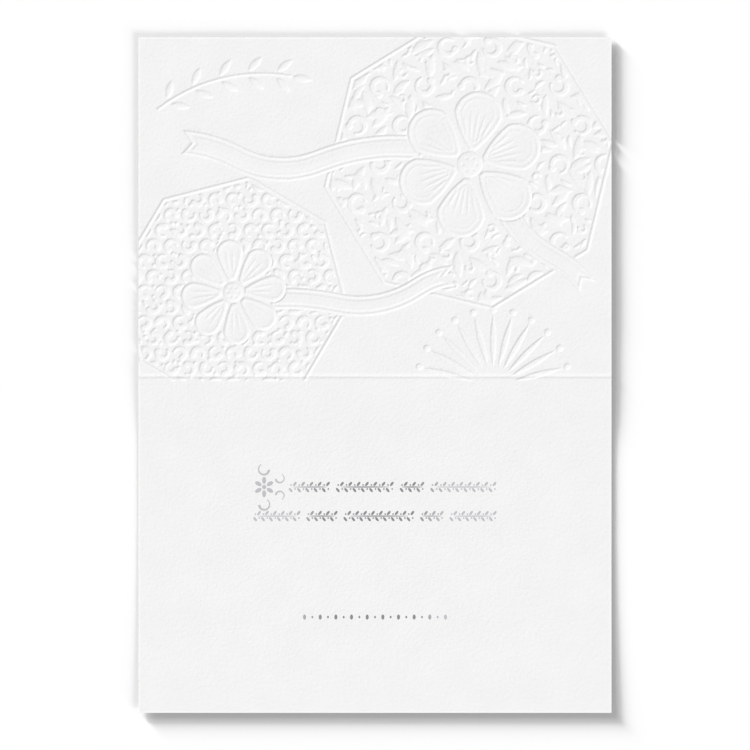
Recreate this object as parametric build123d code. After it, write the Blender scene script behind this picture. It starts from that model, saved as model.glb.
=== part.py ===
"""An open top-fold greeting card lying on a table with its inside up.

The card is one sheet, creased across the middle. Its front panel is blind embossed, so each
form is a recess in the inner face and a boss on the outer face. Silver foil is stamped on the
inner face of the back panel.

Frame: X runs along the crease, Y from the back panel's free edge to the front panel's, Z up
from the table. The design is laid out in millimetres from the middle of the crease.
"""
from build123d import *
from math import atan2, cos, degrees, hypot, radians, sin, sqrt
import os

# Sheet
card_width = 200.0
front_length = 143.7
back_length = 142.0
stock = 0.40

# How the sheet lies: the front rests on its bosses, the back ramps down to the table
crease_land = 2.0
back_ramp = 34.0
back_flat = 16.0
lift_radius = 4500.0

# Crease
bead_width = 1.6
bead_height = 0.22
groove_width = 1.2
groove_depth = 0.20

# Pressing
emboss_depth = 0.55
press_wall = 0.35
pillow_drop = 0.25
pillow_margin = 1.4
vein_drop = 0.42
crease_margin = 1.4
motif_gap = 1.0

# Eight-sided frames round the two fields
frame_sides = 8
frame_line = 1.1

# Field of scrolls with the large blossom
large_centre = (40.0, 90.0)
large_field_radius = 57.0
large_field_turn = 9.0
large_petals = 6
large_heart = 5.2
large_reach = 31.0
large_half_width = 10.0
large_turn = 20.0
scroll_pitch = 19.0
scroll_radius = 4.0
scroll_sweep = 290.0
scroll_leaf_start = 6.4
scroll_leaf_length = 11.3
scroll_leaf_bows = (1.2, -2.2)
scroll_leaf_lean = 58.0
scroll_leaf_places = (103.0, 154.0)

# Field of curls with the small blossom
small_centre = (-60.0, 36.0)
small_field_radius = 45.0
small_field_turn = -8.0
small_petals = 8
small_heart = 4.0
small_reach = 22.0
small_half_width = 5.4
small_turn = 5.0
curl_pitch = 7.5
curl_every = 2
curl_radius = 3.0
curl_sweep = 235.0

# Widths of a scroll at its tail and its head, and the turn from one motif to the next
stroke_tail = 0.7
stroke_head = 1.9
stroke_facets = 4
motif_turn = 137.5
row_turns = 31
petal_foot = 1.1
petal_belly = 0.62
vein_bow = 0.5
vein_spread = 11.0

# Fan
fan_centre = (50.0, -4.0)
fan_inner = 9.0
fan_outer = 30.0
fan_ribs = 11
fan_spread = 150.0
fan_rib_bow = 1.0
bead_radius = 1.2
bead_sides = 6

# Ribbons: start, heading, steps of length and turn, half the width
ribbons = (
    ((15.0, 97.0), 176.0, ((39.5, 26.0), (36.0, -50.0), (24.0, 24.0)), 5.0),
    ((-44.0, 33.0), 4.0, ((28.0, -16.0), (36.0, 46.0), (16.0, -30.0)), 4.2),
    ((54.0, 72.0), -62.0, ((30.0, 34.0), (20.0, -26.0)), 4.0),
)
ribbon_notch = 4.0

# Sprig in the plain corner
sprig_start = (-92.0, 113.0)
sprig_heading = 38.0
sprig_steps = ((30.0, -24.0), (30.0, -24.0))
sprig_stem = 0.45
sprig_pairs = 5
sprig_leaf_length = 8.0
sprig_leaf_bow = 1.3
sprig_leaf_lean = 42.0

# Foil ornament on the back panel: rows of leafy sprigs, their distances from the crease
foil_thickness = 0.05
foil_seat = 0.01
foil_rows = (46.5, 58.8)
foil_half_row = 51.5
foil_leaf_counts = ((10, 14, 6, 16), (12, 8, 18, 6, 12))
foil_sprig_gap = 2.4
foil_stem = 0.30
foil_leaf_length = 2.5
foil_leaf_width = 0.9
foil_leaf_lean = 52.0
foil_clearance = 0.12
rosette_room = 15.0
rosette_reach = 4.6
rosette_leaves = 6
rosette_turn = 30.0
rosette_heart = 0.9
rosette_curl = 2.6
rosette_curl_turn = 30.0
small_row = 101.5
small_half_row = 29.8
small_row_count = 17
small_row_height = 2.6
small_row_width = 1.1


def polar(origin, length, aim):
    """The point at that length from origin, aim in degrees from +X."""
    return (origin[0] + length * cos(radians(aim)), origin[1] + length * sin(radians(aim)))


def walk(start, heading, steps, offset=0.0):
    """Edges beside a path of straight and round steps, moved to its left by offset.

    Each step is its length and the degrees it turns to the left. Also returns the path's
    own end points and its last heading.
    """
    edges = []
    stations = [start]
    for length, turn in steps:
        here = stations[-1]
        if turn == 0:
            there = polar(here, length, heading)
            edges.append(Line(polar(here, offset, heading + 90), polar(there, offset, heading + 90)))
        else:
            radius = length / radians(turn)
            centre = polar(here, radius, heading + 90)
            there = polar(centre, -radius, heading + turn + 90)
            side = [polar(centre, offset - radius, heading + turn * part + 90) for part in (0, 0.5, 1)]
            edges.append(ThreePointArc(*side))
        stations.append(there)
        heading += turn
    return edges, stations, heading


# The section of the sheet, walked both ways from the crease

def ramp_steps(length, drop):
    """Two equal arcs that leave level, fall by drop and arrive level."""
    turn = 2 * degrees(atan2(drop, length))
    return [(length / 2, -turn), (length / 2, turn)]


front_steps = [(front_length, 0)]
lifted = back_length - crease_land - back_ramp - back_flat
back_steps = [
    (crease_land, 0),
    *ramp_steps(back_ramp, emboss_depth),
    (back_flat, 0),
    (lifted, degrees(lifted / lift_radius)),
]
crease_point = (0.0, emboss_depth)
lift_rise = lifted**2 / (2 * lift_radius)
face_height = emboss_depth + stock


def layer(low, high):
    """The space between two heights over the outer face, following the whole sheet."""
    edges = []
    tips = []
    for steps, mirrored in ((front_steps, False), (back_steps, True)):
        for height in (low, high):
            run, stations, heading = walk(crease_point, 0, steps, height)
            tip = polar(stations[-1], height, heading + 90)
            if mirrored:
                run = [edge.mirror(Plane.YZ) for edge in run]
                tip = (-tip[0], tip[1])
            edges += run
            tips.append(tip)
    edges += [Line(tips[0], tips[1]), Line(tips[2], tips[3])]
    return across(make_face(edges))


def across(section):
    """A section drawn in Y and Z, run over the card's width."""
    return extrude(Plane.YZ.offset(-card_width / 2) * section, amount=card_width)


def crease_strip(width, height, base):
    """A round-backed strip along the crease, standing on base."""
    ends = ((-width / 2, base), (width / 2, base))
    return across(make_face([ThreePointArc(ends[0], (0, base + height), ends[1]), Line(*ends)]))


# Outlines of the pressed design; grow moves each one outwards

def rib(base, length, aim, bow, grow=0.0):
    """A slender blade between two equal arcs."""
    start = polar(base, -grow, aim)
    tip = polar(base, length + grow, aim)
    middle = polar(base, length / 2, aim)
    sides = [polar(middle, side * (bow + grow), aim + 90) for side in (1, -1)]
    return make_face([ThreePointArc(start, side, tip) for side in sides])


def leaf(base, length, aim, left, right, grow=0.0):
    """A pointed leaf of six sides; left and right are how far each side bows to the left."""
    thirds = [polar(base, length * place / 3, aim) for place in (1, 2)]
    one = [polar(point, right - grow, aim + 90) for point in thirds]
    other = [polar(point, left + grow, aim + 90) for point in reversed(thirds)]
    ends = polar(base, -grow, aim), polar(base, length + grow, aim)
    return make_face(Polyline(ends[0], *one, ends[1], *other, close=True))


def petal(centre, inner, outer, half_width, aim, grow=0.0):
    """A petal from a narrow foot to a round end."""
    shoulder = outer - half_width
    waist = (inner + shoulder) / 2
    waist_half = petal_foot + petal_belly * (half_width - petal_foot)

    def at(reach, side):
        return polar(polar(centre, reach, aim), side, aim + 90)

    wide = half_width + grow
    foot = petal_foot + grow
    edges = [ThreePointArc(at(shoulder, wide), at(outer + grow, 0), at(shoulder, -wide))]
    for side in (1, -1):
        belly = at(waist, side * (waist_half + grow))
        edges.append(ThreePointArc(at(inner - grow, side * foot), belly, at(shoulder, side * wide)))
    edges.append(Line(at(inner - grow, foot), at(inner - grow, -foot)))
    return make_face(edges)


def curl(centre, radius, aim, sweep, hand, grow=0.0):
    """An open scroll between two circles that come closest at aim, so it swells as it turns.

    It is drawn with a few straight facets, because it is small and there are many.
    """
    inner_centre = polar(centre, (stroke_head - stroke_tail) / 2, aim)
    inner_radius = radius - (stroke_head + stroke_tail) / 2
    spare = degrees(grow / radius)
    step = (sweep + 2 * spare) / stroke_facets
    turns = [aim + hand * (step * part - spare) for part in range(stroke_facets + 1)]
    outside = [polar(centre, radius + grow, turn) for turn in turns]
    inside = [polar(inner_centre, inner_radius - grow, turn) for turn in turns]
    brow = polar(centre, radius - stroke_head / 2, turns[-1] + hand * degrees(stroke_head / 2 / radius))
    return make_face(Polyline(*outside, brow, *reversed(inside), close=True))


def bead(centre, radius, grow=0.0):
    return Pos(*centre) * RegularPolygon(radius + grow, bead_sides)


def heart(centre, radius, grow=0.0):
    return Pos(*centre) * Circle(radius + grow)


def frame(centre, radius, turn, grow=0.0):
    """A line of even width round a regular field."""
    outer = RegularPolygon(radius + frame_line / 2 + grow, frame_sides, major_radius=False)
    inner = RegularPolygon(radius - frame_line / 2 - grow, frame_sides, major_radius=False)
    return Pos(*centre) * Rot(0, 0, turn) * (outer - inner)


def band(start, heading, steps, half, notch, grow=0.0):
    """A band of even width along tangent arcs, with a notch in its far end."""
    if grow:
        start = polar(start, -grow, heading)
        steps = ((grow, 0), *steps, (grow, 0))
    left, stations, last = walk(start, heading, steps, half + grow)
    right, stations, last = walk(start, heading, steps, -half - grow)
    near = [polar(start, side * (half + grow), heading + 90) for side in (1, -1)]
    far = [polar(stations[-1], side * (half + grow), last + 90) for side in (1, -1)]
    tail = polar(stations[-1], -notch, last)
    return make_face([*left, *right, Line(*near), Line(far[0], tail), Line(tail, far[1])])


# The pressed design: each form is its outline's function and the values it takes

def lattice(centre, pitch, reach):
    """Points of a triangular grid within reach of centre, each with its row and column."""
    rows = int(reach / pitch) + 2
    for row in range(-rows, rows + 1):
        for column in range(-rows, rows + 1):
            x = centre[0] + pitch * (column + (row % 2) / 2)
            y = centre[1] + pitch * sqrt(3) / 2 * row
            if hypot(x - centre[0], y - centre[1]) < reach:
                yield (x, y), row, column


def clear(point, reach, blossom_centre, blossom_reach):
    """Whether a motif of that reach is on the panel and clear of blossom, ribbons and crease."""
    if abs(point[0]) > card_width / 2 or not reach + crease_margin < point[1] < front_length:
        return False
    if hypot(point[0] - blossom_centre[0], point[1] - blossom_centre[1]) < blossom_reach + reach:
        return False
    for start, heading, steps, half in ribbons:
        parts = [(length / 4, turn / 4) for length, turn in steps for part in range(4)]
        edges, stations, last = walk(start, heading, parts)
        if min(hypot(point[0] - x, point[1] - y) for x, y in stations) < half + reach:
            return False
    return True


def scroll_field():
    """Scrolls with sickle leaves that stream round them."""
    reach = scroll_radius + motif_gap
    forms = []
    for point, row, column in lattice(large_centre, scroll_pitch, large_field_radius - reach):
        turn = motif_turn * (row_turns * row + column)
        if clear(point, reach, large_centre, large_reach):
            forms.append((curl, (point, scroll_radius, turn, scroll_sweep, 1)))
            for place in scroll_leaf_places:
                base = polar(point, scroll_leaf_start, turn + place)
                aim = turn + place + scroll_leaf_lean
                middle = polar(base, scroll_leaf_length / 2, aim)
                if clear(middle, scroll_leaf_length / 2, large_centre, large_reach):
                    forms.append((leaf, (base, scroll_leaf_length, aim, *scroll_leaf_bows)))
    return forms


def curl_field():
    """Open curls, turned over from one column to the next."""
    reach = curl_radius + motif_gap
    forms = []
    for point, row, column in lattice(small_centre, curl_pitch, small_field_radius - reach):
        kept = row % curl_every == 0 and column % curl_every == 0
        if kept and clear(point, reach, small_centre, small_reach):
            hand = 1 if (column // curl_every + row // curl_every) % 2 else -1
            turn = motif_turn * (row_turns * row + column)
            forms.append((curl, (point, curl_radius, turn, curl_sweep, hand)))
    return forms


def petals(centre, count, heart_radius, reach, half_width, turn, margin=0.0):
    """The petals of one blossom, drawn in by margin."""
    inner = heart_radius + motif_gap + margin
    return [
        (petal, (centre, inner, reach - margin, half_width - margin, turn + 360 / count * part))
        for part in range(count)
    ]


def fan():
    """Ribs that spread from the crease, each with a bead at its tip."""
    forms = []
    for part in range(fan_ribs):
        aim = 90 - fan_spread / 2 + fan_spread / (fan_ribs - 1) * part
        base = polar(fan_centre, fan_inner, aim)
        forms.append((rib, (base, fan_outer - fan_inner, aim, fan_rib_bow)))
        forms.append((bead, (polar(fan_centre, fan_outer + 2 * bead_radius, aim), bead_radius)))
    return forms


def sprig():
    """A curved stem with pairs of leaves up it and one leaf at its tip."""
    halves = [(length / sprig_pairs, turn / sprig_pairs) for length, turn in sprig_steps]
    parts = [half for half in halves for part in range(sprig_pairs)]
    edges, stations, last = walk(sprig_start, sprig_heading, parts)
    bows = (sprig_leaf_bow, -sprig_leaf_bow)
    forms = [
        (band, (sprig_start, sprig_heading, sprig_steps, sprig_stem, 0)),
        (leaf, (polar(stations[-1], motif_gap, last), sprig_leaf_length, last, *bows)),
    ]
    turn = 2 * sprig_steps[0][1] / (len(stations) - 1)
    for pair in range(sprig_pairs):
        aim = sprig_heading + turn * (2 * pair + 1)
        for side in (1, -1):
            base = polar(stations[2 * pair + 1], sprig_stem + motif_gap, aim + side * 90)
            forms.append((leaf, (base, sprig_leaf_length, aim + side * sprig_leaf_lean, *bows)))
    return forms


large = (large_centre, large_petals, large_heart, large_reach, large_half_width, large_turn)
small = (small_centre, small_petals, small_heart, small_reach, small_half_width, small_turn)


def pressed_forms():
    """Forms pressed to the full depth."""
    return [
        *petals(*large),
        *petals(*small),
        (heart, (large_centre, large_heart)),
        (heart, (small_centre, small_heart)),
        *[(band, (*ribbon, ribbon_notch)) for ribbon in ribbons],
        (frame, (large_centre, large_field_radius, large_field_turn)),
        (frame, (small_centre, small_field_radius, small_field_turn)),
        *scroll_field(),
        *curl_field(),
        *fan(),
        *sprig(),
    ]


def pillow_forms():
    """Forms that stand up again inside the large petals."""
    return petals(*large, margin=pillow_margin)


def vein_forms():
    """Two short veins up each pillow."""
    length = (large_reach - large_heart) / 2
    forms = []
    for part in range(large_petals):
        for side in (-0.5, 0.5):
            aim = large_turn + 360 / large_petals * part + side * vein_spread
            base = polar(large_centre, large_heart + motif_gap + 2 * pillow_margin, aim)
            forms.append((rib, (base, length, aim, vein_bow)))
    return forms


def prisms(forms, low, high, grow=0.0):
    """Upright solids on the outlines, from low to high, kept off the crease."""
    room = Pos(0, crease_margin - grow, low) * Box(
        card_width, front_length, high - low, align=(Align.CENTER, Align.MIN, Align.MIN)
    )
    room &= Box(card_width, 2 * front_length, 2 * high)
    solids = []
    for outline, values in forms:
        prism = extrude(Pos(0, 0, low - 1) * outline(*values, grow=grow), amount=high - low + 2)
        solids += (prism & room).solids()
    return solids


def make_card():
    card = layer(0, stock) + crease_strip(bead_width, bead_height, face_height)
    card -= crease_strip(groove_width, groove_depth, emboss_depth)
    floor = face_height - emboss_depth
    above = face_height + 1
    card += prisms(pressed_forms(), 0, emboss_depth + stock / 2, press_wall)
    card -= prisms(pressed_forms(), floor, above)
    card += prisms(pillow_forms(), floor - stock / 2, face_height - pillow_drop)
    card -= prisms(vein_forms(), face_height - vein_drop, above)
    return card


# The foil

def lozenge(base, length, width, aim):
    """A four-sided leaf, widest at its middle."""
    middle = polar(base, length / 2, aim)
    side = [polar(middle, width / 2, aim + lean) for lean in (90, -90)]
    return make_face(Polyline(base, side[0], polar(base, length, aim), side[1], close=True))


def bar(start, end, width):
    return Pos((start[0] + end[0]) / 2, start[1]) * Rectangle(end[0] - start[0], width)


def sprig_row(row, start, end, counts):
    """Sprigs with a straight stem and leaves to either side in turn, from start to end in X."""
    pitch = (end - start - foil_sprig_gap * (len(counts) - 1)) / sum(counts)
    offset = foil_stem / 2 + foil_clearance
    forms = []
    for count in counts:
        stop = start + pitch * count
        forms.append((bar, ((start, -row), (stop, -row), foil_stem)))
        for number in range(round(count)):
            side = 1 if number % 2 else -1
            base = (start + pitch * number, side * offset - row)
            forms.append((lozenge, (base, foil_leaf_length, foil_leaf_width, side * foil_leaf_lean)))
        start = stop + foil_sprig_gap
    return forms


def rosette(centre):
    """A star of leaves between two curls."""
    forms = [(bead, (centre, rosette_heart))]
    for part in range(rosette_leaves):
        aim = 360 / rosette_leaves * part + rosette_turn
        base = polar(centre, rosette_heart + foil_clearance, aim)
        forms.append((lozenge, (base, rosette_reach - rosette_heart, 2 * foil_leaf_width, aim)))
    for side in (1, -1):
        beside = (centre[0], centre[1] + side * (rosette_reach + rosette_curl + 2 * foil_clearance))
        forms.append((curl, (beside, rosette_curl, 90 + side * rosette_curl_turn, curl_sweep, side)))
    return forms


def small_row_forms():
    """A row of upright lozenges, tall and short by turns."""
    pitch = 2 * small_half_row / (small_row_count - 1)
    forms = []
    for number in range(small_row_count):
        size = 1 if number % 2 == 0 else 0.5
        height = small_row_height * size
        base = (pitch * number - small_half_row, -small_row - height / 2)
        forms.append((lozenge, (base, height, small_row_width * size, 90)))
    return forms


def make_foil():
    """Thin solids that lie on the inner face and follow it."""
    forms = [
        *rosette((rosette_reach - foil_half_row, -foil_rows[0])),
        *sprig_row(foil_rows[0], rosette_room - foil_half_row, foil_half_row, foil_leaf_counts[0]),
        *sprig_row(foil_rows[1], -foil_half_row, foil_half_row, foil_leaf_counts[1]),
        *small_row_forms(),
    ]
    skin = layer(stock + foil_seat, stock + foil_seat + foil_thickness)
    solids = []
    for outline, values in forms:
        solids += (extrude(outline(*values), amount=2 * face_height + lift_rise) & skin).solids()
    return Compound(children=solids)


os.makedirs("parts", exist_ok=True)
card = make_card()
middle = Pos(0, -card.bounding_box().center().Y, 0)
export_step(middle * card, "parts/folded_card.step")
export_step(middle * make_foil(), "parts/foil_ornament.step")
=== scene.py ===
# %% [markdown]
# # An open greeting card
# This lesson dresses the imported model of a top-fold greeting card that lies open on a table.
# The card is one sheet of heavy white stock. A press with a pair of matched dies has pushed a
# flower design into its front panel, and silver foil is stamped on the panel below the fold.
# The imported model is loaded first, because it fixes the size and place of all that follows.

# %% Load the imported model
import math

import bpy
import numpy as np
from mathutils import Matrix, Vector


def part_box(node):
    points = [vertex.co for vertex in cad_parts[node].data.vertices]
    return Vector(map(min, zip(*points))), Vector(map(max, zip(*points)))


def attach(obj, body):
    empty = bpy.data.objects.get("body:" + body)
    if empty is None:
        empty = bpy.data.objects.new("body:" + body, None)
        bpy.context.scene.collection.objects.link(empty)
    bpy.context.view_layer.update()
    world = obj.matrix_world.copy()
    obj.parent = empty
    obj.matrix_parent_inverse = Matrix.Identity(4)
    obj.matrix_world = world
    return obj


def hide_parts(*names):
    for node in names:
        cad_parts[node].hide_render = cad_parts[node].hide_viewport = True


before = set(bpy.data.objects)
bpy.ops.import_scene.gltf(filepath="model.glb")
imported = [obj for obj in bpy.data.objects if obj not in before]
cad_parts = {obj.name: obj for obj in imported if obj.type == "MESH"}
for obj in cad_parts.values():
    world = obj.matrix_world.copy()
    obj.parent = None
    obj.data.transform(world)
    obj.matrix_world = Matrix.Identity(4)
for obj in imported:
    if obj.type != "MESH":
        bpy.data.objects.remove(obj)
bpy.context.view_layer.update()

# %% [markdown]
# ## The camera
# The card is seen from straight above, and its far and near edges look equally long, so the
# real camera stood well back with a long lens. Here it hangs 3 m over the table, and its lens
# is worked out from the width of table that has to fit into the picture.

# %% Camera
MM = 0.001
camera_height = 3.0
view_width = 317.2 * MM
bpy.ops.object.camera_add(location=(0, 0, camera_height), rotation=(0, 0, 0))
camera = bpy.context.object
camera.name = "camera"
camera.data.lens = camera.data.sensor_width * camera_height / view_width
bpy.context.scene.camera = camera
print("lens in millimetres:", round(camera.data.lens, 1))

# %% [markdown]
# ## The sheet
# The real card starts as a flat sheet. It could be a cube made thin, but a cube has no room
# for the fine forms that the dies leave. So its inner face begins as a fine grid over the
# front panel, and the back panel is drawn out of the grid's edge beyond the fold, strip by
# strip: it falls to the table, lies flat for a stretch and lifts a little at its free edge,
# as a card does that has been folded. All lengths below are in millimetres from the fold.

# %% Sizes of the sheet
card_low, card_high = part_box("folded_card")
front_length = 143.7
back_length = 142.0
stock = 0.40
emboss_depth = 0.55
crease_land = 2.0
ramp_end = 36.0
lift_start = 52.0
lift_radius = 5300.0
half_width = (card_high[0] - card_low[0]) / 2 / MM
crease_y = card_high[1] / MM - front_length
back_scale = (crease_y - card_low[1] / MM) / back_length


def face_height(run):
    """Height of the inner face over the table, run millimetres down the back panel."""
    if run <= ramp_end:
        part = max(0.0, run - crease_land) / (ramp_end - crease_land)
        fallen = 2 * part**2 if part < 0.5 else 1 - 2 * (1 - part) ** 2
        return stock + emboss_depth * (1 - fallen)
    return stock + max(0.0, run - lift_start) ** 2 / (2 * lift_radius)


print("half width", round(half_width, 2), "fold at y", round(crease_y, 3))
print("face at the fold", round(face_height(0), 2), "and at the free edge",
      round(face_height(back_length), 2))

# %% The front panel as a grid
cell = 0.35
grid_length = front_length + crease_land
columns = round(2 * half_width / cell)
rows = round(grid_length / cell)
bpy.ops.object.select_all(action="DESELECT")
bpy.ops.mesh.primitive_grid_add(x_subdivisions=columns, y_subdivisions=rows, size=1)
card = bpy.context.object
card.name = "card_sheet"
bpy.ops.object.mode_set(mode="EDIT")
bpy.ops.mesh.select_all(action="SELECT")
bpy.ops.transform.resize(value=(2 * half_width * MM, grid_length * MM, 1))
middle_y = crease_y - crease_land + grid_length / 2
bpy.ops.transform.translate(value=(0, middle_y * MM, face_height(0) * MM))
bpy.ops.object.mode_set(mode="OBJECT")
print("grid of", len(card.data.vertices), "points")


# %% The back panel, drawn out strip by strip
def card_points():
    """The places of the card's points in metres, a row for each."""
    flat = np.empty(3 * len(card.data.vertices))
    card.data.vertices.foreach_get("co", flat)
    return flat.reshape(-1, 3)


bpy.ops.object.mode_set(mode="EDIT")
bpy.ops.mesh.select_mode(type="VERT")
bpy.ops.mesh.select_all(action="DESELECT")
bpy.ops.object.mode_set(mode="OBJECT")
fold_side = card_points()[:, 1] < (crease_y - crease_land + cell / 2) * MM
card.data.vertices.foreach_set("select", fold_side)
bpy.ops.object.mode_set(mode="EDIT")
ramp_strips, lift_strips, trim_width = 12, 10, 2 * cell
ramp_stations = np.linspace(crease_land, ramp_end, ramp_strips + 1)[1:]
lift_stations = np.linspace(lift_start, back_length - trim_width, lift_strips + 1)
edge_stations = (back_length - cell, back_length)
last = crease_land
for station in (*ramp_stations, *lift_stations, *edge_stations):
    rise = face_height(station) - face_height(last)
    step = (0, (last - station) * back_scale * MM, rise * MM)
    bpy.ops.mesh.extrude_region_move(TRANSFORM_OT_translate={"value": step})
    last = station
bpy.ops.object.mode_set(mode="OBJECT")
print("sheet of", len(card.data.polygons), "faces")

# %% [markdown]
# ## The pressed design
# A matched pair of dies squeezes each form down by about half a millimetre. Sculpting such
# crisp forms by hand would be slow, and a bump in the material would vanish from the side. So
# every form is first drawn as a flat outline, a closed row of points. Leaves, petals and
# curls are arcs put end to end, and ribbons run along a path.


# %% Points along arcs
def polar(origin, length, aim):
    """The point at that length from origin, aim in degrees from +X."""
    turn = math.radians(aim)
    return origin[0] + length * math.cos(turn), origin[1] + length * math.sin(turn)


def arc(start, middle, end, parts=10):
    """Points from start towards end on the circle through all three, without the end."""
    (ax, ay), (bx, by), (cx, cy) = start, middle, end
    twice = 2 * (ax * (by - cy) + bx * (cy - ay) + cx * (ay - by))
    a2, b2, c2 = ax**2 + ay**2, bx**2 + by**2, cx**2 + cy**2
    hub_x = (a2 * (by - cy) + b2 * (cy - ay) + c2 * (ay - by)) / twice
    hub_y = (a2 * (cx - bx) + b2 * (ax - cx) + c2 * (bx - ax)) / twice
    radius = math.hypot(ax - hub_x, ay - hub_y)
    first = math.atan2(ay - hub_y, ax - hub_x)
    half = (math.atan2(by - hub_y, bx - hub_x) - first) % math.tau
    whole = (math.atan2(cy - hub_y, cx - hub_x) - first) % math.tau
    if half > whole:
        whole -= math.tau
    turns = [first + whole * part / parts for part in range(parts)]
    return [(hub_x + radius * math.cos(t), hub_y + radius * math.sin(t)) for t in turns]


print("points of a half circle:", len(arc((1, 0), (0, 1), (-1, 0))))


# %% Outlines of leaves, petals and curls
def leaf(base, length, aim, left, right):
    """A pointed leaf of two arcs, left and right being how far each bows to the left."""
    tip = polar(base, length, aim)
    middle = polar(base, length / 2, aim)
    one, other = polar(middle, right, aim + 90), polar(middle, left, aim + 90)
    return arc(base, one, tip) + arc(tip, other, base)


def petal(centre, inner, outer, half, aim, foot=1.1):
    """A petal from a narrow foot to a round end."""
    belly = 0.62
    shoulder = outer - half
    waist = (inner + shoulder) / 2
    waist_half = foot + belly * (half - foot)

    def at(reach, side):
        return polar(polar(centre, reach, aim), side, aim + 90)

    near = arc(at(inner, -foot), at(waist, -waist_half), at(shoulder, -half))
    end = arc(at(shoulder, -half), at(outer, 0), at(shoulder, half), parts=20)
    far = arc(at(shoulder, half), at(waist, waist_half), at(inner, foot))
    return near + end + far + [at(inner, foot)]


def disc(centre, radius, sides=18):
    """A round outline."""
    return [polar(centre, radius, 360 / sides * part) for part in range(sides)]


def curl(centre, radius, aim, sweep, hand, tail=0.9, head=2.1):
    """An open scroll that swells from its tail to a round head, and the head's middle."""
    inner_centre = polar(centre, (head - tail) / 2, aim)
    inner_radius = radius - (head + tail) / 2
    parts = 20
    turns = [aim + hand * sweep * part / parts for part in range(parts + 1)]
    outside = [polar(centre, radius, turn) for turn in turns]
    inside = [polar(inner_centre, inner_radius, turn) for turn in turns]
    knob = [(outside[-1][k] + inside[-1][k]) / 2 for k in (0, 1)]
    half = math.dist(outside[-1], inside[-1]) / 2
    cap = [polar(knob, half, turns[-1] + hand * lean) for lean in (30, 60, 90, 120, 150)]
    return outside + cap + inside[::-1], knob


print("points of a leaf:", len(leaf((0, 0), 8, 0, 1, -1)))


# %% Outlines of frames and ribbons
def eight_sided(centre, radius, turn):
    """A regular field, radius being the distance to its sides."""
    corner = radius / math.cos(math.pi / 8)
    return [polar(centre, corner, turn + 45 * part) for part in range(8)]


def walk(start, heading, steps, parts=8):
    """Stations and headings along a path of steps, each a length and a turn to the left."""
    here, stations = start, [(start, heading)]
    for length, turn in steps:
        for part in range(parts):
            here = polar(here, length / parts, heading + turn / parts / 2)
            heading += turn / parts
            stations.append((here, heading))
    return stations


def ribbon(start, heading, steps, half, notch=4.0, inset=0.0):
    """A band with a notch in its far end, or the line that runs inset inside its edge."""
    stations = walk(start, heading, steps)
    (near, near_aim), (far, far_aim) = stations[0], stations[-1]
    cut = inset * (notch / half + math.hypot(1, notch / half))
    between = [station for station in stations[1:-1]
               if math.dist(station[0], near) > inset and math.dist(station[0], far) > cut]
    end = polar(far, -cut, far_aim)
    stations = [(polar(near, inset, near_aim), near_aim), *between, (end, far_aim)]
    right = [polar(point, half - inset, aim - 90) for point, aim in stations]
    left = [polar(point, half - inset, aim + 90) for point, aim in stations]
    return right + [polar(end, -notch * (1 - inset / half), far_aim)] + left[::-1]


print("points of a short ribbon:", len(ribbon((0, 0), 0, ((10, 20),), 2)))

# %% [markdown]
# ## From outline to depth
# On the real card the paper bends over the die's edge, so a form's wall is a soft step, a bit
# wider than the paper is thick. A bevel on every form would cost many faces. Instead each point
# of the grid is asked how far inside the outline it lies, and that distance gives its depth.


# %% Distance from an outline
def inward(outline, xs, ys):
    """Distance of each point from the outline, positive inside it."""
    p = np.array(outline)
    q = np.roll(p, -1, 0)
    ex, ey = q[:, 0] - p[:, 0], q[:, 1] - p[:, 1]
    wx, wy = xs[..., None] - p[:, 0], ys[..., None] - p[:, 1]
    along = np.clip((wx * ex + wy * ey) / (ex * ex + ey * ey + 1e-12), 0, 1)
    near = np.sqrt(((wx - along * ex) ** 2 + (wy - along * ey) ** 2).min(-1))
    up = (wy >= 0) & (ys[..., None] < q[:, 1])
    down = (wy < 0) & (ys[..., None] >= q[:, 1])
    side = ex * wy - ey * wx
    wound = (up & (side > 0)).sum(-1) - (down & (side < 0)).sum(-1)
    return np.where(wound != 0, near, -near)


def ease(part):
    """A smooth step from 0 to 1."""
    part = np.clip(part, 0, 1)
    return part * part * (3 - 2 * part)


sample_x, sample_y = np.array((3.0, 6.0)), np.zeros(2)
print("points inside and outside a disc:", inward(disc((0, 0), 5), sample_x, sample_y).round(2))

# %% The grid of depths
grid_x = np.linspace(-half_width, half_width, columns + 1)
grid_y = np.linspace(-crease_land, front_length, rows + 1)
depth_x, depth_y = np.meshgrid(grid_x, grid_y)
depth = np.zeros_like(depth_x)
window_spare, least_depth = 2.0, 0.1


def window(outline):
    """The rows and columns of the grid that an outline can touch."""
    spots = np.array(outline)
    first = (spots.min(0) - window_spare - (grid_x[0], grid_y[0])) / cell
    final = (spots.max(0) + window_spare - (grid_x[0], grid_y[0])) / cell
    return tuple(slice(max(0, int(first[k])), max(0, int(final[k]) + 1)) for k in (1, 0))


def report(what):
    """Prints how much of the panel is pressed once this is in it."""
    share = float((depth > least_depth).mean())
    print("with", what, "the pressed share of the panel is", round(share, 3))


report("nothing")

# %% Pressing down and rising again
wall_width = 0.62
land, land_wall = 1.0, 0.6


def rounding(inside):
    """0 at an outline and 1 at its middle, steep at first and level at last."""
    part = np.clip(inside / max(inside.max(), cell), 0, 1)
    return part * (2 - part)


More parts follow.
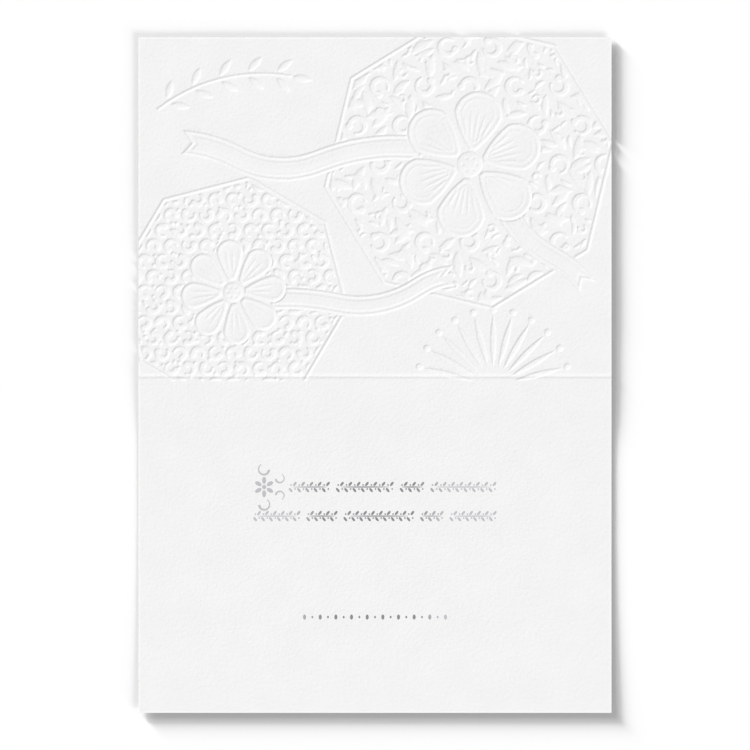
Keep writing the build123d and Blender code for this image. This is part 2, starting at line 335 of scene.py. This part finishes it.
def press(outline, clip=None, crown=0.0, cover=False):
    """Pushes a form down, its wall a smooth step centred on the outline.

    With clip it stops at another outline. With crown its floor goes on sinking towards its
    middle by that share. With cover it first smooths away what lies under and just round it.
    """
    part = window(outline)
    xs, ys = depth_x[part], depth_y[part]
    if xs.size == 0:
        return
    inside = inward(outline, xs, ys)
    if clip is not None:
        inside = np.minimum(inside, inward(clip, xs, ys))
    if cover:
        depth[part] *= 1 - ease((inside + land) / land_wall)
    amount = emboss_depth * ease(inside / wall_width + 0.5)
    if crown:
        amount *= 1 - crown + crown * rounding(inside)
    depth[part] = np.maximum(depth[part], amount)


def lift(outline, high, middle):
    """Lets a form rise again inside a pressed one, by high at its edge and middle inside."""
    part = window(outline)
    xs, ys = depth_x[part], depth_y[part]
    inside = inward(outline, xs, ys)
    share = ease(inside / wall_width + 0.5)
    depth[part] -= share * (high + (middle - high) * rounding(inside))


print("wall width", wall_width, "and land", land, "in millimetres")

# %% [markdown]
# ## Two patterned fields
# Two large eight-sided fields lie tilted under the blossoms. One is filled with scrolls that
# have sickle leaves streaming round them, the other with small open curls and dots. Both
# repeat on a triangular grid. Each motif is turned by another angle than its neighbours, so
# the grid isn't seen, as in a hand-drawn pattern.


# %% Triangular grid
golden_turn, row_turns = 137.5, 31


def lattice(centre, pitch, reach):
    """Points of a triangular grid within reach, each with the turn and hand of its motif."""
    count = int(reach / pitch) + 2
    for row in range(-count, count + 1):
        for column in range(-count, count + 1):
            x = centre[0] + pitch * (column + (row % 2) / 2)
            y = centre[1] + pitch * math.sqrt(3) / 2 * row
            if math.hypot(x - centre[0], y - centre[1]) < reach:
                hand = 1 if (column // 2 + row // 2) % 2 else -1
                yield (x, y), golden_turn * (row_turns * row + column), hand


print("points within two pitches:", len(list(lattice((0, 0), 1, 2))))

# %% Scrolls with sickle leaves
large_centre, large_field, large_turn = (40.0, 90.0), 57.0, 9.0
field_rim = 1.6
large_inside = eight_sided(large_centre, large_field - field_rim, large_turn)
scroll_pitch, scroll_spare, large_clear = 19.0, 14.0, 22.0
sickle_count, sickle_ring, sickle_lean = 7, 6.4, 58.0
sickle_length, sickle_half, sickle_droop = 10.4, 1.8, 0.6
size_mean, size_swing, long_side = 0.72, 0.38, 120.0
leaf_crown = 0.4


def scroll_motif(centre, turn):
    """One scroll and the leaves round it, longest on one side."""
    path, knob = curl(centre, radius=4.2, aim=turn, sweep=290, hand=1, tail=1.0, head=2.4)
    press(path, clip=large_inside)
    press(disc(knob, radius=1.45), clip=large_inside)
    for number in range(sickle_count):
        place = 360 / sickle_count * number
        size = size_mean + size_swing * math.cos(math.radians(place - long_side))
        base = polar(centre, sickle_ring, turn + place)
        bows = (sickle_half * size - sickle_droop, -sickle_half * size - sickle_droop)
        sickle = leaf(base, sickle_length * size, turn + place + sickle_lean, *bows)
        press(sickle, clip=large_inside, crown=leaf_crown)


for point, turn, _ in lattice(large_centre, scroll_pitch, large_field + scroll_spare):
    if math.dist(point, large_centre) > large_clear:
        scroll_motif(point, turn)
        for corner in (30, 90):
            gap = polar(point, scroll_pitch / math.sqrt(3), corner)
            path, _ = curl(gap, 2.1, turn + corner, sweep=250, hand=-1, tail=0.8, head=1.5)
            press(path, clip=large_inside)
report("scrolls")

# %% Small open curls
small_centre, small_field, small_turn = (-60.0, 36.0), 45.0, -8.0
small_inside = eight_sided(small_centre, small_field - field_rim, small_turn)
curl_pitch, curl_spare, small_clear = 7.5, 6.0, 16.0
dot_ring, dot_lean = 4.3, 60
for point, turn, hand in lattice(small_centre, curl_pitch, small_field + curl_spare):
    if math.dist(point, small_centre) > small_clear:
        path, knob = curl(point, radius=3.0, aim=turn, sweep=235, hand=hand)
        press(path, clip=small_inside)
        press(disc(knob, radius=1.25), clip=small_inside)
        dot = polar(point, dot_ring, turn - hand * dot_lean)
        press(disc(dot, radius=0.75), clip=small_inside)
report("curls")

# %% Lines round the fields
frame_line = 1.1


def band(outer, inner):
    """Where two outlines lie on the grid, and a share that is 1 in the band between them."""
    part = window(outer)
    xs, ys = depth_x[part], depth_y[part]
    inside = np.minimum(inward(outer, xs, ys), -inward(inner, xs, ys))
    return part, ease(inside / wall_width + 0.5)


for centre, radius, turn in ((large_centre, large_field, large_turn),
                             (small_centre, small_field, small_turn)):
    part, share = band(eight_sided(centre, radius + frame_line / 2, turn),
                       eight_sided(centre, radius - frame_line / 2, turn))
    depth[part] = np.maximum(depth[part], emboss_depth * share)
report("frames")

# %% [markdown]
# ## Fan, ribbons, sprig and blossoms
# These lie over the fields, so they are pressed after them, and ribbons and blossoms first
# smooth away what they cover. A narrow flat land is left round them, as an engraver leaves one
# to part two forms. A fine groove along the ribbons and the large petals gives them a hem.

# %% Fan above the fold
fan_centre, fan_inner, fan_outer = (50.0, -4.0), 9.0, 30.0
fan_ribs, fan_spread, rib_half = 11, 150.0, 1.1
bead_gap = 2.4
for number in range(fan_ribs):
    aim = 90 - fan_spread / 2 + fan_spread / (fan_ribs - 1) * number
    foot = polar(fan_centre, fan_inner, aim)
    press(leaf(foot, fan_outer - fan_inner, aim, rib_half, -rib_half))
    press(disc(polar(fan_centre, fan_outer + bead_gap, aim), radius=1.3))
report("fan")

# %% Ribbons
# Each has a start, a heading, steps of a length and a turn, and half its width.
ribbons = (
    ((20.0, 96.65), 176.0, ((5.0, 0.0), (39.5, 26.0), (36.0, -50.0), (24.0, 24.0)), 5.0),
    ((-44.0, 33.0), 4.0, ((28.0, -16.0), (36.0, 46.0), (16.0, -30.0)), 4.2),
    ((54.0, 72.0), -62.0, ((30.0, 34.0), (20.0, -26.0)), 4.0),
)
hem, hem_line, hem_rise = 1.1, 2.2, 0.40
groove, groove_depth = 0.6, 0.16


def score(outer, inner):
    """Draws a fine groove between two outlines of a form that is pressed already."""
    part, share = band(outer, inner)
    depth[part] += groove_depth * share


for start, heading, steps, half in ribbons:
    press(ribbon(start, heading, steps, half), cover=True)
    lift(ribbon(start, heading, steps, half, inset=hem), high=hem_rise, middle=0.0)
    score(ribbon(start, heading, steps, half, inset=hem_line),
          ribbon(start, heading, steps, half, inset=hem_line + groove))
report("ribbons")

# %% Sprig in the plain corner
sprig_start, sprig_heading = (-92.0, 113.0), 38.0
sprig_steps = ((30.0, -24.0), (30.0, -24.0))
sprig_pairs, sprig_lean = 5, 42
sprig_leaf, sprig_leaf_half = 8.0, 1.5
tip_gap, leaf_gap = 1.0, 1.45
press(ribbon(sprig_start, sprig_heading, sprig_steps, half=0.5, notch=0.0))


def press_leaf(base, aim):
    """One leaf of the sprig, sunk towards its middle."""
    press(leaf(base, sprig_leaf, aim, sprig_leaf_half, -sprig_leaf_half), crown=leaf_crown)


sprig_stations = walk(sprig_start, sprig_heading, sprig_steps, sprig_pairs)
tip, tip_aim = sprig_stations[-1]
press_leaf(polar(tip, tip_gap, tip_aim), tip_aim)
for point, aim in sprig_stations[1::2]:
    for side in (1, -1):
        press_leaf(polar(point, leaf_gap, aim + 90 * side), aim + sprig_lean * side)
report("sprig")

# %% Blossoms
petal_edge, pillow_foot, pillow_start = 1.3, 0.5, 2.4
pillow_edge_rise, pillow_rise = 0.20, 0.36
vein_start, vein_half, vein_depth = 3.6, 0.5, 0.22
vein_share, vein_shrink = 0.56, 0.08
seed_count, seed_ring, seed_rise = 6, 0.55, 0.25


def blossom(centre, count, heart, reach, half, turn, vein_count, vein_lean, inlay=0):
    """Petals with a sunk edge, a pillow inside and veins in it, round a beaded heart.

    With inlay a fine groove follows the petal's edge, that far inside the pillow.
    """
    aims = [turn + 360 / count * part for part in range(count)]
    for aim in aims:
        press(petal(centre, heart + land, reach, half, aim), cover=True)
    for aim in aims:
        inner, middle, outer = [
            petal(centre, heart + pillow_start + drawn_in, reach - petal_edge - drawn_in,
                  half - petal_edge - drawn_in, aim, pillow_foot)
            for drawn_in in (inlay + groove, inlay, 0)]
        lift(outer, pillow_edge_rise, pillow_rise)
        if inlay:
            score(middle, inner)
        for number in range(vein_count):
            lean = number - (vein_count - 1) / 2
            length = (reach - heart) * (vein_share - vein_shrink * abs(lean))
            base = polar(centre, heart + vein_start + abs(lean), aim + vein_lean * lean)
            vein = leaf(base, length, aim + vein_lean * lean, vein_half, -vein_half)
            lift(vein, -vein_depth, -vein_depth)
    press(disc(centre, heart, sides=36), cover=True, crown=leaf_crown)
    for number in range(seed_count):
        spot = polar(centre, heart * seed_ring, 360 / seed_count * number)
        lift(disc(spot, radius=0.6), seed_rise, seed_rise)


blossom(large_centre, count=6, heart=5.2, reach=31.0, half=10.0, turn=20.0,
        vein_count=5, vein_lean=8, inlay=1.5)
blossom(small_centre, count=8, heart=4.0, reach=22.0, half=5.4, turn=5.0,
        vein_count=2, vein_lean=10)
report("blossoms")

# %% The design ends at the fold
design_end, design_fade = -1.9, 0.8
depth *= ease((depth_y - design_end) / design_fade)
depth = np.clip(depth, 0, emboss_depth)
print("deepest in millimetres:", round(float(depth.max()), 3))

# %% [markdown]
# ## From flat sheet to pressed card
# The depths become a vertex group, as if they were weight painted, and a Displace modifier
# pushes the sheet down by them. A second group marks the bead that the folding blade raised
# along the fold, and a third the front panel, which waves a little since pressing stretches
# paper. The sheet gets its thickness first, so that both faces then move together, as paper
# does.

# %% Vertex groups
bead_height, bead_above, bead_below = 0.36, 1.6, 0.75
wave_start, wave_fade = 3.0, 25.0
x, y = card_points().T[:2] / MM
y = y - crease_y
column = np.clip(np.rint((x + half_width) / (2 * half_width) * columns), 0, columns).astype(int)
row = np.rint((y + crease_land) / grid_length * rows).astype(int)
on_grid = row >= 0
pressed = np.where(on_grid, depth[np.clip(row, 0, rows), column], 0) / emboss_depth
bead = np.where(y > 0, ease(1 - y / bead_above), np.clip(1 + y / bead_below, 0, 1) ** 2)
free = ease((y - wave_start) / wave_fade)
least_weight = 0.001


def weigh(name, weights):
    """Makes a vertex group of the weights that aren't almost zero."""
    group = card.vertex_groups.new(name=name)
    weighed = np.flatnonzero(weights > least_weight)
    for number in weighed:
        group.add([int(number)], float(weights[number]), "REPLACE")
    print(name, "group:", len(weighed), "points")


weigh("pressed", pressed)
weigh("bead", bead)
weigh("free", free)


# %% Modifiers, applied one by one
def finish_with(piece, kind, **settings):
    """Adds a modifier, sets it and applies it."""
    modifier = piece.modifiers.new(kind.title(), kind)
    for name, value in settings.items():
        setattr(modifier, name, value)
    bpy.context.view_layer.objects.active = piece
    bpy.ops.object.modifier_apply(modifier=modifier.name)


def displace(height, group, **settings):
    """Moves the card's points up by height millimetres times their weight in the group."""
    finish_with(card, "DISPLACE", direction="Z", mid_level=0, strength=height * MM,
                vertex_group=group, **settings)


inner_points = len(card.data.vertices)
card.vertex_groups.new(name="outer")
finish_with(card, "SOLIDIFY", thickness=stock * MM, offset=-1, use_even_offset=True,
            shell_vertex_group="outer")
displace(-emboss_depth, "pressed")
displace(bead_height, "bead")
wave_height, wave_size = 0.16, 38.0
wave = bpy.data.textures.new("paper_wave", "CLOUDS")
wave.noise_scale = wave_size * MM
wave.noise_depth = 0
displace(wave_height, "free", texture=wave, texture_coords="LOCAL")
print("full sheet:", len(card.data.polygons), "faces")

# %% [markdown]
# ## The cut edge
# A blade trims the sheet and leaves a fine lip along each cut, which catches the light as a
# thin bright line. A bevel would turn two of the four edges away from the lamp, and they would
# look dark. So the last points of the inner face are moved instead, down at the left and far
# edges and up at the right and near ones, and all four slope towards the lamp.

# %% Lip of the cut edge
lip_height, least_lip = 0.14, 0.01


def edge_gaps():
    """Distances of each point from the left, far, right and near edge, in millimetres."""
    x, y = card_points().T[:2] / MM
    return np.array((half_width + x, crease_y + front_length - y,
                     half_width - x, y - crease_y + back_length * back_scale))


def mark_trim():
    """Marks the line where the lip starts sharp, so that the lip can't shade the panel."""
    ring = abs(edge_gaps().min(0) - trim_width) < cell / 2
    ends = np.empty(2 * len(card.data.edges), dtype=np.int32)
    card.data.edges.foreach_get("vertices", ends)
    for number in np.flatnonzero(ring[ends.reshape(-1, 2)].all(1)):
        card.data.edges[int(number)].use_edge_sharp = True


left, far, right, near = np.clip(1 - edge_gaps()[:, :inner_points] / trim_width, 0, 1)
lip = (np.maximum(right, near) - np.maximum(left, far)) * (1 - bead)
moved = np.flatnonzero(abs(lip) > least_lip)
for number in moved:
    card.data.vertices[int(number)].co.z += lip[number] * lip_height * MM
mark_trim()
print("points in the lip:", len(moved))

# %% [markdown]
# ## Fewer faces
# The full sheet has about a million triangles, and most lie on flat paper, where they show
# nothing. Remeshing would blur the walls. Decimate takes faces from where the sheet is flat and
# keeps them on the walls. The outer face is thinned most, since it is hidden when the card
# lies open. Weighted normals then let the large faces set the shading, so that long thin
# triangles leave no streaks.

# %% Decimate and smooth
most_outer, most_faces = 28000, 194000
wall_angle, normal_weight = 55, 50


def face_count():
    """Triangles of the card, a four-sided face being two."""
    return sum(len(face.vertices) - 2 for face in card.data.polygons)


before = face_count()
finish_with(card, "DECIMATE", ratio=(before / 2 + most_outer) / before, vertex_group="outer")
finish_with(card, "DECIMATE", ratio=most_faces / face_count(), vertex_group="outer",
            invert_vertex_group=True)
bpy.ops.object.select_all(action="DESELECT")
card.select_set(True)
bpy.ops.object.mode_set(mode="EDIT")
bpy.ops.mesh.select_all(action="SELECT")
bpy.ops.mesh.quads_convert_to_tris()
bpy.ops.object.mode_set(mode="OBJECT")
mark_trim()
bpy.ops.object.shade_smooth_by_angle(angle=math.radians(wall_angle))
finish_with(card, "WEIGHTED_NORMAL", mode="FACE_AREA", weight=normal_weight, keep_sharp=True)
card.vertex_groups.clear()
print("from", before, "to", len(card.data.polygons), "triangles")

# %% [markdown]
# ## Silver foil
# The foil is a film far thinner than a hair, stamped into the paper with a hot die. As an
# image on the paper it would have no edge to catch the light, so it is made of thin plates
# with a sloping rim. A leaf, a bead and a curl are modelled once and then copied. A stem is a
# leaf stretched long.


# %% Select by place
def pick(piece, test):
    """Selects the points whose place passes the test and opens edit mode."""
    bpy.ops.object.mode_set(mode="EDIT")
    bpy.ops.mesh.select_mode(type="VERT")
    bpy.ops.mesh.select_all(action="DESELECT")
    bpy.ops.object.mode_set(mode="OBJECT")
    for vertex in piece.data.vertices:
        vertex.select = test(vertex.co)
    bpy.ops.object.mode_set(mode="EDIT")


foil_thickness, wall_share = 0.05, 0.7
leaf_rim, bead_rim = 0.08, 0.10


def thicken(rim):
    """Gives a flat face in edit mode a thin wall and a narrow sloping rim."""
    wall = wall_share * foil_thickness * MM
    bpy.ops.mesh.select_all(action="SELECT")
    bpy.ops.mesh.extrude_region_move(TRANSFORM_OT_translate={"value": (0, 0, wall)})
    bpy.ops.mesh.inset(thickness=rim * MM, depth=foil_thickness * MM - wall)
    bpy.ops.mesh.select_all(action="SELECT")
    bpy.ops.mesh.normals_make_consistent(inside=False)
    bpy.ops.object.mode_set(mode="OBJECT")
    return bpy.context.object


print("foil of", foil_thickness, "mm, made thick so that it has an edge")

# %% Leaves and beads
leaf_length, leaf_width = 2.6, 1.02
tall_height, short_height = 2.6, 1.3
round_share, tip_share = 0.42, 0.41


def add_plate(name, sides, radius):
    """A flat round plate on the origin, left in edit mode with all of it selected."""
    bpy.ops.object.select_all(action="DESELECT")
    bpy.ops.mesh.primitive_circle_add(vertices=sides, radius=radius * MM, fill_type="NGON")
    piece = bpy.context.object
    piece.name = name
    bpy.ops.object.mode_set(mode="EDIT")
    bpy.ops.mesh.select_all(action="SELECT")
    return piece


def model_leaf(name, length, width):
    """A pointed plate that starts at the origin and runs along X."""
    radius = round_share * length
    piece = add_plate(name, 14, radius)
    bpy.ops.transform.resize(value=(1, width / (2 * radius), 1))
    bpy.ops.transform.translate(value=(length / 2 * MM, 0, 0))
    for side in (-1, 1):
        pick(piece, lambda co: side * (co.x / MM - length / 2) > tip_share * length)
        bpy.ops.transform.translate(value=(side * (length / 2 - radius) * MM, 0, 0))
    return thicken(leaf_rim)


def model_bead(name, radius, sides=20):
    """A round plate on the origin."""
    add_plate(name, sides, radius)
    return thicken(bead_rim)


foil_leaf = model_leaf("foil_leaf", leaf_length, leaf_width)
star_leaf = model_leaf("star_leaf", length=3.6, width=1.7)
tall_drop = model_leaf("tall_drop", tall_height, width=1.3)
short_drop = model_leaf("short_drop", short_height, width=0.8)
rosette_bead = model_bead("rosette_bead", radius=0.9)
foil_berry = model_bead("foil_berry", radius=0.36, sides=10)
print("leaf of", len(foil_leaf.data.polygons), "faces")


# %% One curl
def model_curl(name, radius, sweep):
    """A curl spun from one edge, then widened point by point towards its head."""
    tail, head, steps = 0.35, 1.15, 24
    bpy.ops.object.select_all(action="DESELECT")
    bpy.ops.mesh.primitive_plane_add(size=tail * MM, location=(0, 0, 0))
    piece = bpy.context.object
    piece.name = name
    middle = radius - tail / 2
    bpy.ops.object.mode_set(mode="EDIT")
    bpy.ops.transform.translate(value=(middle * MM, 0, 0))
    pick(piece, lambda co: co.y < 0)
    bpy.ops.mesh.delete(type="VERT")
    bpy.ops.mesh.select_all(action="SELECT")
    bpy.ops.transform.translate(value=(0, -tail / 2 * MM, 0))
    bpy.ops.mesh.spin(steps=steps, angle=-math.radians(sweep), center=(0, 0, 0), axis=(0, 0, 1))
    bpy.ops.object.mode_set(mode="OBJECT")
    for vertex in piece.data.vertices:
        turn = math.degrees(math.atan2(vertex.co.y, vertex.co.x)) % 360
        if math.hypot(*vertex.co.xy) < middle * MM:
            shrink = 1 - (head - tail) * (turn % 359.9) / sweep / radius
            vertex.co.xy *= shrink
    bpy.ops.object.mode_set(mode="EDIT")
    return thicken(leaf_rim)


foil_curl = model_curl("foil_curl", radius=2.6, sweep=235.0)
print("curl of", len(foil_curl.data.polygons), "faces")

# %% [markdown]
# ## Foil ornaments
# The ornaments stand in three rows on the back panel. An Array modifier would space copies
# evenly, but it can't vary the sprigs or follow the paper where it rises. So short loops lay
# the copies one by one, each with its own mesh, and all are joined into one piece at the end.

# %% Copies laid on the paper
foil_sink = 0.01
foil_pieces = []


def lay(pattern, run, across, aim, flip=False, stretch=(1, 1)):
    """A copy of a pattern with its own mesh, run below the fold, following the paper."""
    mesh = pattern.data.copy()
    grow = Matrix.Diagonal((stretch[0], stretch[1] * (-1 if flip else 1), 1, 1))
    mesh.transform(Matrix.Rotation(math.radians(aim), 4, "Z") @ grow)
    if flip:
        mesh.flip_normals()
    for vertex in mesh.vertices:
        vertex.co.x += across * MM
        vertex.co.y += (crease_y - run * back_scale) * MM
        spot = (crease_y - vertex.co.y / MM) / back_scale
        vertex.co.z += (face_height(spot) - foil_sink) * MM
    piece = bpy.data.objects.new(pattern.name, mesh)
    bpy.context.scene.collection.objects.link(piece)
    foil_pieces.append(piece)


print("each copy sinks", foil_sink, "mm into the paper")

# %% Sprig rows
foil_rows = (46.5, 58.8)
half_row = 51.5
rosette_room = 15.0
sprig_gap, stem_width, stem_offset = 2.4, 0.50, 0.27
leaf_lean = 52
berry_along, berry_across = 0.95, 0.85
leaf_counts = ((10, 14, 6, 16), (12, 8, 18, 6, 12))
for row, counts, start in zip(foil_rows, leaf_counts, (rosette_room - half_row, -half_row)):
    pitch = (half_row - start - sprig_gap * (len(counts) - 1)) / sum(counts)
    for count in counts:
        stem = (pitch * count / leaf_length, stem_width / leaf_width)
        lay(foil_leaf, row, start, 0, stretch=stem)
        for number in range(count):
            side = 1 if number % 2 else -1
            x = start + pitch * number
            lay(foil_leaf, row - side * stem_offset, x, side * leaf_lean)
            lay(foil_berry, row + side * berry_across, x + berry_along, 0)
        start += pitch * count + sprig_gap
print("foil plates in the sprig rows:", len(foil_pieces))

# %% Rosette with four curls
rosette_half = 4.6
rosette_x, rosette_row = rosette_half - half_row, foil_rows[0]
star_count, star_reach = 6, 1.02
outer_gap, inner_gap, inner_along, inner_size = 7.44, 3.6, 6.6, 0.8
lay(rosette_bead, rosette_row, rosette_x, 0)
for part in range(star_count):
    aim = 360 / star_count * part + 30
    dx, dy = polar((0, 0), star_reach, aim)
    lay(star_leaf, rosette_row - dy, rosette_x + dx, aim)
for side in (1, -1):
    lay(foil_curl, rosette_row - side * outer_gap, rosette_x, 90 + side * 30, flip=side < 0)
    lay(foil_curl, rosette_row - side * inner_gap, rosette_x + inner_along, side * 60,
        flip=side > 0, stretch=(inner_size, inner_size))
print("with the rosette:", len(foil_pieces))

# %% Row of drops
drop_row, drop_half, drop_count = 101.5, 29.8, 19
for number in range(drop_count):
    x = 2 * drop_half / (drop_count - 1) * number - drop_half
    drop, height = (short_drop, short_height) if number % 2 else (tall_drop, tall_height)
    lay(drop, drop_row + height / 2, x, 90)
print("with the drops:", len(foil_pieces))

# %% One piece of foil
rim_angle = 30
for pattern in (foil_leaf, star_leaf, tall_drop, short_drop,
                rosette_bead, foil_berry, foil_curl):
    bpy.data.objects.remove(pattern)
bpy.ops.object.select_all(action="DESELECT")
for piece in foil_pieces:
    piece.select_set(True)
bpy.context.view_layer.objects.active = foil_pieces[0]
bpy.ops.object.join()
foil = bpy.context.object
foil.name = foil.data.name = "stamped_foil"
bpy.ops.object.shade_smooth_by_angle(angle=math.radians(rim_angle))
print("foil:", len(foil.data.polygons), "faces")

# %% [markdown]
# ## Felt-finish paper
# The stock is an uncoated paper, matt and nearly white, with a soft irregular grain that the
# felt of the paper machine left. Modelled grain would cost millions of faces, so noise in
# object coordinates gives it: a fine noise raises it as a bump, and a broad one shifts the
# paper's tone a little, as fibres do that lie more or less densely.


# %% Material helpers
def new_material(name):
    """A material and its shader."""
    material = bpy.data.materials.new(name)
    material.use_nodes = True
    return material, material.node_tree.nodes["Principled BSDF"]


def object_place(material):
    """The place on the object, so that a pattern stays with the piece."""
    return material.node_tree.nodes.new("ShaderNodeTexCoord").outputs["Object"]


def noise(material, place, size, detail, roughness):
    """Noise whose features are size millimetres across."""
    node = material.node_tree.nodes.new("ShaderNodeTexNoise")
    node.inputs["Scale"].default_value = 1 / (size * MM)
    node.inputs["Detail"].default_value = detail
    node.inputs["Roughness"].default_value = roughness
    material.node_tree.links.new(place, node.inputs["Vector"])
    return node.outputs["Fac"]


blend_range = (0.3, 0.7)


def blend_colour(material, share, shader, first, second):
    """Blends two greys by share, spread over the middle of its range, as the base colour."""
    ramp = material.node_tree.nodes.new("ShaderNodeValToRGB")
    for element, position, grey in zip(ramp.color_ramp.elements, blend_range, (first, second)):
        element.position = position
        element.color = (*grey, 1)
    material.node_tree.links.new(share, ramp.inputs["Fac"])
    material.node_tree.links.new(ramp.outputs["Color"], shader.inputs["Base Color"])


def grain(material, shader, height, distance, strength):
    """A bump of that depth in millimetres."""
    node = material.node_tree.nodes.new("ShaderNodeBump")
    node.inputs["Distance"].default_value = distance * MM
    node.inputs["Strength"].default_value = strength
    material.node_tree.links.new(height, node.inputs["Height"])
    material.node_tree.links.new(node.outputs["Normal"], shader.inputs["Normal"])


def give(piece, material):
    """Makes the material the piece's only one."""
    piece.data.materials.clear()
    piece.data.materials.append(material)
    print(piece.name, "has", material.name, "of", len(material.node_tree.nodes), "nodes")


# %% Paper
paper, paper_shader = new_material("felt_finish_paper")
place = object_place(paper)
tone = noise(paper, place, size=14, detail=2, roughness=0.5)
blend_colour(paper, tone, paper_shader, (0.895, 0.895, 0.892), (0.915, 0.915, 0.913))
paper_shader.inputs["Roughness"].default_value = 0.85
paper_shader.inputs["Specular IOR Level"].default_value = 0.2
felt = noise(paper, place, size=1.3, detail=3, roughness=0.6)
grain(paper, paper_shader, felt, distance=0.25, strength=1.0)
give(card, paper)

# %% [markdown]
# ## Satin silver
# Stamped foil is metal with a satin face. One even grey would look like print. Its grey comes
# and goes along a row in soft bands: a painted reflection in the base colour, lighter and darker
# as a film that isn't quite flat would mirror, and a slight bump breaks up what it mirrors.

# %% Silver foil
silver, silver_shader = new_material("satin_silver_foil")
place = object_place(silver)
# Painted reflection: soft bands along X make the foil's base colour lighter and darker along
# each row.
painted_reflection_bands = silver.node_tree.nodes.new("ShaderNodeTexWave")
painted_reflection_bands.wave_type = "BANDS"
painted_reflection_bands.bands_direction = "X"
painted_reflection_bands.inputs["Scale"].default_value = 3.0
painted_reflection_bands.inputs["Distortion"].default_value = 0.6
silver.node_tree.links.new(place, painted_reflection_bands.inputs["Vector"])
blend_colour(silver, painted_reflection_bands.outputs["Fac"], silver_shader,
             (0.27, 0.27, 0.285), (0.53, 0.53, 0.555))
silver_shader.inputs["Metallic"].default_value = 1.0
silver_shader.inputs["Roughness"].default_value = 0.3
dents = noise(silver, place, size=0.9, detail=2, roughness=0.5)
grain(silver, silver_shader, dents, distance=0.01, strength=0.5)
give(foil, silver)

# %% [markdown]
# ## Table
# The table is a plain matt plane. A box would do as well, but only its top would be seen. Its
# grey is lit up to white by lamps of its own, which leaves room for a shadow beside the card.

# %% Plain table
table_side, table_gap = 14.0, 0.1
bpy.ops.object.select_all(action="DESELECT")
bpy.ops.mesh.primitive_plane_add(size=table_side, location=(0, 0, -table_gap * MM))
table = bpy.context.object
table.name = "table"
table_paint, table_shader = new_material("matt_table")
table_shader.inputs["Base Color"].default_value = (0.30, 0.30, 0.30, 1)
table_shader.inputs["Roughness"].default_value = 1.0
table_shader.inputs["Specular IOR Level"].default_value = 0.0
give(table, table_paint)

# %% [markdown]
# ## Light
# The light is plain and soft: a wide lamp from the upper left draws the walls of the design,
# and the even light of the room fills them. A card so thin hardly throws a shadow in such
# light. So three low lamps light only the table, through light linking: two from the upper
# left for the shadow at the right and near edges, and one from the lower right for the faint
# shadow at the other two.

# %% Lamps
room_light = 0.68


def add_sun(name, azimuth, elevation, share, softness, lit):
    """A lamp that gives a level sheet that share of full light, and lights only lit."""
    bpy.ops.object.light_add(type="SUN", location=(0, 0, 1))
    lamp = bpy.context.object
    lamp.name = name
    flat = math.cos(math.radians(elevation))
    ray = Vector((flat * math.cos(math.radians(azimuth)),
                  flat * math.sin(math.radians(azimuth)), math.sin(math.radians(elevation))))
    lamp.rotation_euler = ray.to_track_quat("Z", "Y").to_euler()
    lamp.data.angle = math.radians(softness)
    lamp.data.energy = math.pi * share / ray.z
    group = bpy.data.collections.new(name + "_lit")
    for piece in lit:
        group.objects.link(piece)
    lamp.light_linking.receiver_collection = group
    print(name, "of strength", round(lamp.data.energy, 2))


add_sun("key_lamp", 135, 42, share=1 - room_light, softness=12, lit=(card, foil))
add_sun("low_lamp", 135, 8.5, share=1.31, softness=11, lit=(table,))
add_sun("middle_lamp", 135, 16, share=0.66, softness=22, lit=(table,))
add_sun("far_lamp", -45, 13, share=0.69, softness=20, lit=(table,))

# %% Room light, white where the camera or the foil sees it
world = bpy.data.worlds.new("room")
bpy.context.scene.world = world
world.use_nodes = True
tree = world.node_tree
background = tree.nodes["Background"]
background.inputs["Color"].default_value = (1, 1, 1, 1)
background.inputs["Strength"].default_value = room_light
white = tree.nodes.new("ShaderNodeBackground")
white.inputs["Color"].default_value = (1, 1, 1, 1)
white.inputs["Strength"].default_value = 1.0
path = tree.nodes.new("ShaderNodeLightPath")
seen = tree.nodes.new("ShaderNodeMath")
seen.operation = "MAXIMUM"
through = tree.nodes.new("ShaderNodeMath")
through.operation = "MAXIMUM"
mix = tree.nodes.new("ShaderNodeMixShader")
tree.links.new(path.outputs["Is Camera Ray"], seen.inputs[0])
tree.links.new(path.outputs["Is Glossy Ray"], seen.inputs[1])
tree.links.new(seen.outputs[0], through.inputs[0])
tree.links.new(path.outputs["Is Transmission Ray"], through.inputs[1])
tree.links.new(through.outputs[0], mix.inputs["Fac"])
tree.links.new(background.outputs[0], mix.inputs[1])
tree.links.new(white.outputs[0], mix.inputs[2])
tree.links.new(mix.outputs[0], tree.nodes["World Output"].inputs["Surface"])
bpy.context.scene.view_settings.view_transform = "Standard"
print("room light:", room_light, "of full light")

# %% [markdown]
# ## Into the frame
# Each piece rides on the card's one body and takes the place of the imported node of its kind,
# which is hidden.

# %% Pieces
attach(card, "root")
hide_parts("folded_card")
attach(foil, "root")
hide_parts("foil_ornament")
